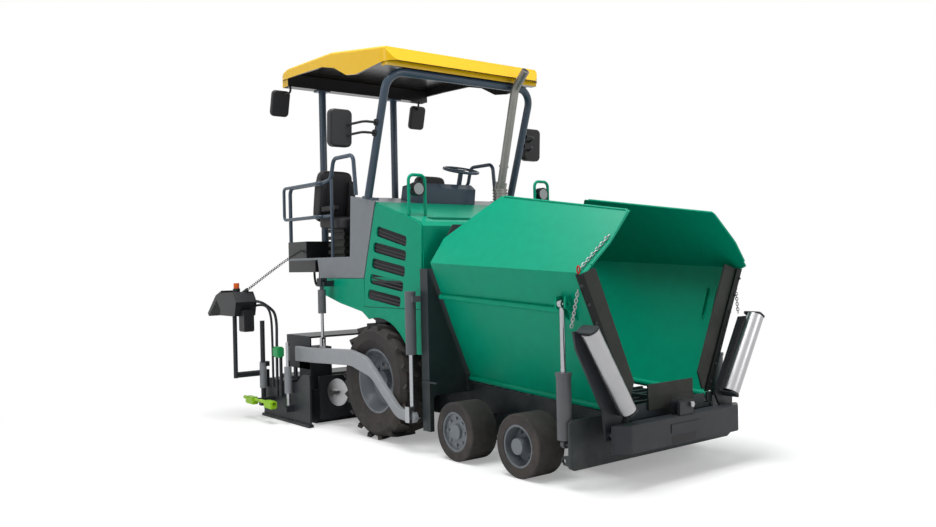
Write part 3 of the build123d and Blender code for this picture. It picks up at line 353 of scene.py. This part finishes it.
roof = own_paint("canopy", roof_yellow)
tree = roof.node_tree
normal = source(tree, "NewGeometry", "Normal")
level = tree.nodes.new("ShaderNodeVectorMath")
level.operation = "MULTIPLY_ADD"
level.inputs[1].default_value = (1, 1, 0)
level.inputs[2].default_value = (ROOF_MIDDLE, 0, 0)
tree.links.new(source(tree, "TexCoord", "Object"), level.inputs[0])
outward = tree.nodes.new("ShaderNodeVectorMath")
outward.operation = "DOT_PRODUCT"
tree.links.new(normal, outward.inputs[0])
tree.links.new(level.outputs[0], outward.inputs[1])
recolour(roof, ROOF_BLACK, calc(
    tree, "MAXIMUM", calc(tree, "LESS_THAN", outward.outputs["Value"], INWARD),
    calc(tree, "LESS_THAN", parts_of(tree, normal)[2], DOWNWARD)))

two_tone_and_painted_shade = [
    # painted shade: the hood's side wall behind the louvres is black for the dark depth behind the slots
    ("hood", green, [(BLACK, (-90, 800, 1430), (530, 840, 1900))]),
    ("headlamps", green, [(BLACK, (430, 660, 2100), (510, 790, 2250))]),
]
for side, s in SIDES:
    two_tone_and_painted_shade += [
        ("wing_" + side, green, [(STRIP_BLACK, (2524.6, 300, 500), (2541.5, 1000, 1453.5))]),
        ("extension_" + side, beam_grey, [(BLACK, (-2400, 1200, 1035), (-1500, 1600, 1320)),
                                          (BEACON_ORANGE, (-1840, 1340, 1331), (-1740, 1430, 1400))]),
    ]
two_tone_and_painted_shade.append(("platform", pale_grey, [(BLACK, (-1710, 400, 1621.5), (-1290, 900, 1800)),
                                         (BLACK, (-1710, 400, 1470), (-1110, 900, 1600))]))
for node, base, areas in two_tone_and_painted_shade:
    paint = own_paint(node, base)
    for colour, low, high in areas:
        recolour(paint, colour, zone(paint.node_tree, low, high))


# ---------------------------------------------------------------- hood doors, fenders, tow arms
# The louvred doors reach down to the wheel arches, the fenders follow the tyres and the
# tow arms are smoothly cranked plates. Each is cut from one outline with its openings.
DOOR_Y = 0.8425                  # middle of the side sheets
SHEET, SHEET_EDGE = 0.015, 0.002
TOW_ARM_Y = 0.961
ARCH_Z, ARCH_RADIUS = 513, 558
TOW_PIN, TOW_PIN_RADIUS = (680, 288), 24


def rounded(points, radii):
    """Closed outline with its corners eased by the given radii."""
    loop = []
    for i, (point, radius) in enumerate(zip(points, radii)):
        corner = Vector(point)
        back = Vector(points[i - 1]) - corner
        ahead = Vector(points[(i + 1) % len(points)]) - corner
        cut = min(radius / math.tan(back.angle(ahead) / 2), 0.49 * back.length, 0.49 * ahead.length)
        start = corner + back.normalized() * cut
        end = corner + ahead.normalized() * cut
        steps = [k / 8 for k in range(9)] if cut > 1 else [0.5]
        loop += [start * (1 - t) ** 2 + corner * (2 * t * (1 - t)) + end * t ** 2 for t in steps]
    return loop


def place_piece(name, mesh, paint, body, instead=None):
    """Adds a mesh as a piece with its finish, body and slot, and the node that it replaces."""
    piece = bpy.data.objects.new(name, mesh)
    bpy.context.scene.collection.objects.link(piece)
    mesh.materials.append(paint)
    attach(piece, body)
    if instead:
        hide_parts(instead)
    return piece


def form_mesh(form, name):
    """Mesh of a finished form, which is freed."""
    mesh = bpy.data.meshes.new(name)
    form.to_mesh(mesh)
    form.free()
    return mesh


def curve_mesh(curve):
    """Mesh of a curve with its bevel."""
    holder = bpy.data.objects.new(curve.name, curve)
    mesh = bpy.data.meshes.new_from_object(holder)
    bpy.data.objects.remove(holder)
    return mesh


def strand(curve, points, kind="POLY"):
    """Adds a spline through points, or steered by them, to a curve."""
    spline = curve.splines.new(kind)
    spline.points.add(len(points) - 1)
    for dot, place in zip(spline.points, points):
        dot.co = (*place, 1)
    return spline


def plate(name, loops, y, thick, edge):
    """Mesh of an upright plate from (station, z) outlines in millimetres, the first the outer one."""
    curve = bpy.data.curves.new(name, "CURVE")
    curve.dimensions = "2D"
    curve.fill_mode = "BOTH"
    curve.extrude = thick / 2 - edge
    curve.bevel_depth = edge
    curve.offset = -edge
    curve.bevel_resolution = 2
    for loop in loops:
        strand(curve, [(X0 + x / 1000, z / 1000, 0) for x, z in loop]).use_cyclic_u = True
    mesh = curve_mesh(curve)
    mesh.transform(Matrix.Translation((0, y, 0)) @ Matrix.Rotation(math.radians(90), 4, "X"))
    return mesh


# lower edges of the louvres, from the top one down: rear and front ends
LOUVRES = [((16, 1839), (478, 1729)), ((-42, 1699), (466, 1607)), ((-74, 1558), (445, 1474)),
           ((-110, 1417), (413, 1347)), ((-151, 1279), (368, 1215))]
door_loops = [rounded([(-215, 1165), (-205, 1425), (8, 2092), (664, 1890), (700, 1852), (682, 1165)],
                      [20, 0, 60, 60, 60, 20])]
slat_lines = []
for (xa, za), (xb, zb) in LOUVRES:
    door_loops.append(rounded([(xa - 10, za - 45), (xb - 6, zb - 45), (xb + 6, zb + 45), (xa + 10, za + 45)],
                              [34] * 4))
    slat_lines += [((xa + 14, za + lift), (xb - 14, zb + lift)) for lift in (-22, 8)]
arch = [(ARCH_RADIUS * math.sin(t), ARCH_Z + ARCH_RADIUS * math.cos(t))
        for t in (math.radians(-15 + 6.3 * k) for k in range(13))]
fender_loop = [(-1054, 1418), (-1054, 1374), (-1018, 1276), (-653, 1186), (-259, 1117)] + arch + [
    (740, 785), (740, 1160), (-220, 1160), (-220, 1418)]
arm_loop = rounded(
    [(-1330, 746), (-1102, 746), (-295, 779), (-17, 734), (498, 335), (715, 330), (742, 288), (715, 246),
     (480, 252), (77, 562), (-265, 638), (-953, 608), (-1330, 600)],
    [10, 0, 500, 300, 200, 20, 30, 20, 260, 260, 400, 300, 10])
pin_hole = [(TOW_PIN[0] + TOW_PIN_RADIUS * math.cos(t), TOW_PIN[1] + TOW_PIN_RADIUS * math.sin(t))
            for t in (math.radians(15 * k) for k in range(24))]
lug_loop = [(-860, 745), (-740, 750), (-780, 820), (-820, 820)]
arm_paint = finish("tow_arm_grey", (0.30, 0.315, 0.335), 0.4, dusty=0.12)
for side, s in SIDES:
    place_piece("louvred_door_" + side, plate("louvred_door", door_loops, s * DOOR_Y, SHEET, SHEET_EDGE),
                green, "door_" + side, "side_door_" + side)
    place_piece("fender_panel_" + side, plate("fender_panel", [fender_loop], s * DOOR_Y, SHEET, SHEET_EDGE),
                green, "chassis", "fenders")
    place_piece("tow_arm_" + side, plate("tow_arm", [arm_loop, pin_hole], s * TOW_ARM_Y, 0.048, 0.006),
                arm_paint, "screed", "tow_arms")
    place_piece("lift_lug_" + side, plate("lift_lug", [lug_loop], s * TOW_ARM_Y, 0.016, SHEET_EDGE),
                arm_paint, "screed", "tow_arms")
    strips = bmesh.new()
    for (xa, za), (xb, zb) in slat_lines:
        start, end = Vector((X0 + xa / 1000, za / 1000)), Vector((X0 + xb / 1000, zb / 1000))
        run = end - start
        turn = Matrix.Rotation(-math.atan2(run.y, run.x), 4, "Y")
        middle = Matrix.Translation(((start.x + end.x) / 2, s * 0.8395, (start.y + end.y) / 2))
        tilt = Matrix.Rotation(s * 0.5, 4, "X")
        size = Matrix.Diagonal((run.length, 0.003, 0.012, 1))
        bmesh.ops.create_cube(strips, matrix=middle @ turn @ tilt @ size)
    place_piece("louvre_slats_" + side, form_mesh(strips, "louvre_slats"), black_plastic, "door_" + side)


# ---------------------------------------------------------------- wing rims and chains
# A rolled rim follows the top and front edges of each wing, and a safety chain hangs
# from the nose to the fold, with a second one from the fold to the roller carrier.
def tube(name, points, radius, cyclic=False, rounds=6):
    """Mesh of a round tube along points in metres."""
    curve = bpy.data.curves.new(name, "CURVE")
    curve.dimensions = "3D"
    curve.bevel_depth = radius
    curve.bevel_resolution = rounds
    curve.use_fill_caps = True
    strand(curve, points).use_cyclic_u = cyclic
    return curve_mesh(curve)


def on_panel(x, z, off):
    """Point on the right wing's upper panel at a station and height, or off it outwards."""
    fall = 0.052 * (x - 885)
    ahead = (x - 885) / 1705
    low, top = (-900, 1546 - fall), (-480 + 10 * ahead, 2125 - 245 * ahead)
    y = low[0] + (top[0] - low[0]) * (z - low[1]) / (top[1] - low[1])
    size = math.hypot(top[0] - low[0], top[1] - low[1])
    return station_point(x, y - off * (top[1] - low[1]) / size, z + off * (top[0] - low[0]) / size)


def chain(name, start, end, sag, count, body, flip):
    """Hanging chain of oval links, each turned a quarter from the last."""
    links = bmesh.new()
    turn = (end - start).normalized().to_track_quat("X", "Z").to_matrix().to_4x4()
    half = (end - start).length / count * 0.5
    oval = [Vector((math.copysign(half * 0.55, math.cos(a)) + 0.008 * math.cos(a), 0.0095 * math.sin(a), 0))
            for a in (math.radians(20 + 40 * k) for k in range(9))]
    for i in range(count):
        t = (i + 0.5) / count
        middle = start.lerp(end, t) - Vector((0, 0, sag * 4 * t * (1 - t)))
        place = Matrix.Translation(middle) @ turn @ Matrix.Rotation(math.pi / 2 * (i % 2) + 0.3, 4, "X")
        ring = tube("link", [place @ p for p in oval], 0.0035, True, 1)
        links.from_mesh(ring)
        bpy.data.meshes.remove(ring)
    if flip:
        bmesh.ops.transform(links, matrix=Matrix.Diagonal((1, -1, 1, 1)), verts=links.verts)
        bmesh.ops.reverse_faces(links, faces=links.faces)
    return place_piece(name, form_mesh(links, name), chain_steel, body)


chain_steel = finish("chain_steel", (0.32, 0.32, 0.33), 0.35, metal=0.9, dusty=0.1)
red = finish("carabiner_red", (0.45, 0.012, 0.014), 0.35, dusty=0.0)
RIM = [(1330, 2060), (2590, 1878), (2604, 1858), (2612, 1800), (2628, 1680), (2630, 1650), (2606, 1510)]
CLAMP_BOLTS = 7
for side, s in SIDES:
    body = "wing_" + side
    flip = s > 0
    mirror = Matrix.Diagonal((1, -s, 1))
    place_piece("wing_rim_" + side, tube("wing_rim", [mirror @ on_panel(x, z, 0) for x, z in RIM], 0.009),
                green, body)
    chain("nose_chain_" + side, on_panel(2600, 1700, 14), on_panel(2548, 1478, 16), 0.004, 13, body, flip)
    chain("roller_chain_" + side, Vector((X0 + 2.505, -0.872, 1.345)), Vector((X0 + 2.490, -0.925, 1.10)),
          0.0, 12, body, flip)
    clip = [mirror @ (on_panel(2540, 1470, 14) + Vector((0.012 * math.cos(a), 0, 0.026 * math.sin(a))))
            for a in (math.radians(30 * k) for k in range(12))]
    place_piece("carabiner_" + side, tube("carabiner", clip, 0.005, True, 2), red, body)
    bolts = bmesh.new()
    for k in range(CLAMP_BOLTS):
        t = 0.06 + k * 0.145
        middle = Vector((X0 + 2.5435, -0.455 - 0.452 * t, 0.560 + 0.875 * t))
        bmesh.ops.create_cone(bolts, cap_ends=True, segments=6, radius1=0.012, radius2=0.011, depth=0.008,
                              matrix=Matrix.Translation(mirror @ middle) @ Matrix.Rotation(math.pi / 2, 4, "Y"))
    place_piece("clamp_bolts_" + side, form_mesh(bolts, "clamp_bolts"), beam_grey, body)


# ---------------------------------------------------------------- seats
# Two sprung seats with stuffed vinyl cushions: each pad is a box whose faces bulge,
# with welts pressed in beside its middle panel, on a pedestal with a pleated boot.
def pad(name, size, place, lean, paint):
    """Stuffed pad of a given size, leaned back about Y, with two welts along its length."""
    form = bmesh.new()
    bmesh.ops.create_cube(form, size=2)
    bmesh.ops.subdivide_edges(form, edges=form.edges, cuts=17, use_grid_fill=True)
    for vert in form.verts:
        u, v, w = vert.co
        stretch = (abs(u) ** 6 + abs(v) ** 6 + abs(w) ** 6) ** (1 / 6)
        swell = 1 + 0.10 * (1 - (u / stretch) ** 2) * (1 - (v / stretch) ** 2)
        welt = 1 - 0.10 * math.exp(-((abs(v / stretch) - 0.62) / 0.06) ** 2)
        vert.co = Vector((u, v, w * swell * welt)) / stretch
    for face in form.faces:
        face.smooth = True
    tilt = Matrix.Rotation(lean, 4, "Y")
    half = Matrix.Diagonal((size[0] / 2, size[1] / 2, size[2] / 2.2, 1))
    bmesh.ops.transform(form, matrix=Matrix.Translation(place) @ tilt @ half, verts=form.verts)
    piece = place_piece(name, form_mesh(form, name), paint, "chassis", "seats")


SEAT_Y = 0.59
BACK_LEAN = -1.40
PLEAT, PLEATS = 0.035, 8
floor_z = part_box("seats")[0][2]
for side, s in SIDES:
    y = s * SEAT_Y
    for name, size, place, lean in (
        ("seat_cushion_", (0.50, 0.42, 0.13), (X0 - 0.915, y, 1.955), 0.06),
        ("seat_back_", (0.52, 0.38, 0.12), (X0 - 1.195, y, 2.235), BACK_LEAN),
        ("seat_left_bolster_", (0.40, 0.08, 0.15), (X0 - 1.17, y + 0.165, 2.20), BACK_LEAN),
        ("seat_right_bolster_", (0.40, 0.08, 0.15), (X0 - 1.17, y - 0.165, 2.20), BACK_LEAN),
        ("armrest_", (0.28, 0.055, 0.06), (X0 - 0.98, y - 0.165, 2.10), 0.0),
    ):
        pad(name + side, size, place, lean, seat_vinyl)
    boot = bmesh.new()
    for k in range(PLEATS):
        wide = 0.30 if k % 2 else 0.25
        bmesh.ops.create_cube(boot, matrix=Matrix.Translation((X0 - 0.93, y, floor_z + PLEAT / 2 + k * PLEAT))
                              @ Matrix.Diagonal((wide, wide - 0.04, PLEAT, 1)))
    place_piece("seat_boot_" + side, form_mesh(boot, "seat_boot"), sheet_rubber, "chassis", "seats")


# ---------------------------------------------------------------- leads and hoses
# The curly lead runs from the platform's side to the right console and a hose loops
# under the rear locker. Each follows one smooth spline through its route.
def route(name, points, radius=0.0):
    """Smooth curve steered by route points in metres."""
    curve = bpy.data.curves.new(name, "CURVE")
    curve.dimensions = "3D"
    curve.resolution_u = 24
    curve.bevel_depth = radius
    spline = strand(curve, points, "NURBS")
    spline.order_u = 3
    spline.use_endpoint_u = True
    return curve


def line_of(curve):
    """Points along a curve and its length."""
    plain = curve.copy()
    plain.bevel_depth = 0
    points = [vert.co.copy() for vert in curve_mesh(plain).vertices]
    return points, sum((b - a).length for a, b in zip(points, points[1:]))


def cord(name, curve, paint, body, instead, start):
    """Adds a hanging cord along its curve, with its finish and body, in place of a CAD node; its start point is
    not used.
    """
    curve.materials.append(paint)
    piece = bpy.data.objects.new(name, curve)
    bpy.context.scene.collection.objects.link(piece)
    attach(piece, body)
    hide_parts(instead)
    line_of(curve)[1]


HOSE_DIAMETER = 0.024
hose_curve = route("hose_loop", [station_point(x, -700, z) for x, z in (
    (-1420, 1479.7), (-1420, 1420), (-1390, 1345), (-1335, 1345), (-1305, 1420), (-1305, 1479.7))],
    HOSE_DIAMETER / 2)
cord("hydraulic_hose", hose_curve, sheet_rubber, "chassis", "hose_loop", line_of(hose_curve)[0][0])

LEAD_DIAMETER, COIL_RADIUS = 0.007, 0.0122
COILS, STEPS = 34, 12            # turns of the lead, and points for each
lead_points, lead_run = line_of(route("lead_route", [
    station_point(-1380, -850.3, 1700), station_point(-1380, -910, 1700), station_point(-1640, -1330, 1322)]))
turns = []
covered = 0.0
for a, b in zip(lead_points, lead_points[1:]):
    ahead = (b - a).normalized()
    out = ahead.cross(Vector((0, 0, 1))).normalized()
    up = ahead.cross(out)
    count = max(1, round((b - a).length / lead_run * COILS * STEPS))
    for k in range(count):
        t = k / count
        angle = 2 * math.pi * COILS * (covered + (b - a).length * t) / lead_run
        turns.append(a.lerp(b, t) + (out * math.cos(angle) + up * math.sin(angle)) * COIL_RADIUS)
    covered += (b - a).length
# the first points give way, so that the lead leaves the platform at its gland
turns = [lead_points[0]] + turns[4:] + [lead_points[-1]]
coil = route("curly_lead", turns, LEAD_DIAMETER / 2)
coil.bevel_resolution = 2
coil.resolution_u = 3
cord("curly_lead_coil", coil, black_plastic, "extension_right", "curly_lead", lead_points[0])


# ---------------------------------------------------------------- screed controls
# Each extension carries height screws, a bow tube over its leads, a grade sensor on
# a lime ski, a slope sensor and a switch box; side plates hold the walkway.
def block(name, low, high, paint, body, edge=0.003, instead=None):
    """Box between two corners, given as station, y and z in millimetres, with eased edges."""
    form = bmesh.new()
    a, b = station_point(*low), station_point(*high)
    bmesh.ops.create_cube(form, matrix=Matrix.Translation((a + b) / 2)
                          @ Matrix.Diagonal((*(abs(v) for v in b - a), 1)))
    bmesh.ops.bevel(form, geom=form.edges[:], offset=edge, segments=2, affect="EDGES")
    return place_piece(name, form_mesh(form, name), paint, body, instead)


def rod(name, s, points, radius, paint, body, instead=None):
    """Straight tube through points given as station, y out from the middle and z, on side s."""
    mesh = tube(name, [station_point(x, s * y, z) for x, y, z in points], radius)
    return place_piece(name, mesh, paint, body, instead)


def bent_rod(name, s, points, radius, paint, body):
    """Smoothly bent tube steered by points given in the same way."""
    line = line_of(route("bow", [station_point(x, s * y, z) for x, y, z in points]))[0]
    return place_piece(name, tube(name, line, radius), paint, body)


LEAD_BOW = [(-1620, 1290, 1200), (-1490, 1290, 1210), (-1480, 1190, 1150), (-1500, 1090, 1060),
            (-1520, 1090, 700), (-1520, 1090, 240)]
REAR_BOW = [(-1700, 1270, 1140), (-1600, 1200, 1180), (-1590, 1110, 1100), (-1610, 1090, 800),
            (-1610, 1090, 320)]
lime = finish("sensor_lime", (0.33, 0.62, 0.02), 0.4, dusty=0.05)
sensor_green = finish("sensor_green", (0.02, 0.33, 0.10), 0.4, dusty=0.05)
for side, s in SIDES:
    body = "extension_" + side
    bent_rod("lead_bow_" + side, s, LEAD_BOW, 0.014, beam_grey, body)
    bent_rod("rear_bow_" + side, s, REAR_BOW, 0.012, beam_grey, body)
    for label, x, top in (("rear", -1800, 985), ("front", -1240, 800)):
        rod(label + "_screw_" + side, s, [(x, 1110, 120), (x, 1110, top)], 0.019, bright_rod, body)
        rod(label + "_sleeve_" + side, s, [(x, 1110, 300), (x, 1110, 560)], 0.036, grey, body)
        block(label + "_foot_" + side, (x - 34, s * 1060, 120), (x + 34, s * 1150, 180), beam_grey, body)
    block("switch_box_" + side, (-1640, s * 1330, 907), (-1500, s * 1435, 1120), black_plastic, body,
          0.008)
    rod("grade_ski_" + side, s, [(-1980, 1235, 200), (-1300, 1235, 200)], 0.018, lime, body)
    for label, x0, x1 in (("ski_shoe_700_", -1470, -1300), ("ski_shoe_280_", -1900, -1720)):
        block(label + side, (x0, s * 1200, 150), (x1, s * 1270, 225), lime, body, 0.01)
    block("ski_arm_" + side, (-1660, s * 1060, 190), (-1620, s * 1245, 225), beam_grey, body)
    block("slope_sensor_" + side, (-1500, s * 1078, 640), (-1370, s * 1150, 745), sensor_green, body,
          0.012)
    rod("sensor_rod_" + side, s, [(-1435, 1088, 240), (-1435, 1088, 650)], 0.016, beam_grey, body)
    block("display_" + side, (-1995, s * 1300, 1175), (-1925, s * 1470, 1295), black_plastic, body,
          0.01)
    block("tower_plate_" + side, (-1601, s * 919, 523), (-1104, s * 936.7, 850), beam_grey, "screed")
    block("tower_rib_" + side, (-1500, s * 920, 430), (-1440, s * 900, 840), beam_grey, "screed")
block("walkway", (-1604, -918, 832), (-1104, 918, 850), beam_grey, "screed")


# ---------------------------------------------------------------- mirror glass, lenses, outer rails
# Each front mirror has its glass on the side that faces back, each lamp has a lens, and
# a second rail stands outside each handrail of the platform.
OUTER_RAIL = [(-960, 838, 2020), (-960, 886, 2020), (-1050, 886, 2020), (-1600, 886, 2020), (-1694, 886, 2020),
              (-1694, 886, 2110), (-1694, 886, 2255), (-1694, 886, 2345), (-1600, 886, 2345),
              (-1050, 886, 2345), (-960, 886, 2345), (-960, 838, 2345)]
glass = finish("mirror_glass", (0.55, 0.60, 0.60), 0.04, metal=1.0, dusty=0.0, bump=0.0, tone=0.02)
lens = finish("lamp_lens", (0.30, 0.31, 0.32), 0.12, coat=0.5, dusty=0.0, bump=0.02)
for side, s in SIDES:
    block("front_mirror_glass_" + side, (-140, s * 1040, 2600), (-138.5, s * 1220, 2890), glass, "chassis",
          0.0005)
    rod("lamp_lens_" + side, s, [(499, 725, 2180), (503, 725, 2180)], 0.05, lens, "chassis")
    bent_rod("outer_rail_" + side, s, OUTER_RAIL, 0.016, slate, "chassis")


# ---------------------------------------------------------------- push beam
# The push beam is a plain deep bar whose ends sweep back, with a pocket in its face
# and the coupling's jaw on top.
BEAM_PLAN = [(2600, -690), (2632, -690), (2700, -595), (2700, 595), (2632, 690), (2600, 690)]
BEAM_FOOT, BEAM_HEIGHT = 245, 0.193
form = bmesh.new()
ring = [form.verts.new(station_point(x, y, BEAM_FOOT)) for x, y in BEAM_PLAN]
risen = bmesh.ops.extrude_face_region(form, geom=[form.faces.new(ring)])
bmesh.ops.translate(form, vec=(0, 0, BEAM_HEIGHT),
                    verts=[v for v in risen["geom"] if isinstance(v, bmesh.types.BMVert)])
bmesh.ops.recalc_face_normals(form, faces=form.faces)
bmesh.ops.bevel(form, geom=form.edges[:], offset=0.006, segments=3, affect="EDGES")
place_piece("beam_body", form_mesh(form, "beam_body"), beam_grey, "chassis", "push_beam")
for name, low, high, paint, edge in (
    ("beam_web", (2560.3, -440, 270), (2602, 440, 430), dark, 0.003),
    ("jaw_rear", (2610, -84, 434), (2634, 84, 540), beam_grey, 0.008),
    ("jaw_front", (2668, -84, 434), (2692, 84, 540), beam_grey, 0.008),
    ("beam_pocket", (2690, -181, 256), (2700.5, 86, 312), black_plastic, 0.0005),
    ("shackle_plate", (2699, -188, 330), (2706, 135, 392), beam_grey, 0.002),
):
    block(name, low, high, paint, "chassis", edge, "push_beam")
for side, s in SIDES:
    rod("carrier_pin_" + side, s, [(2538, 655, 365), (2602, 655, 365)], 0.02, bright_rod, "chassis",
        "push_beam")
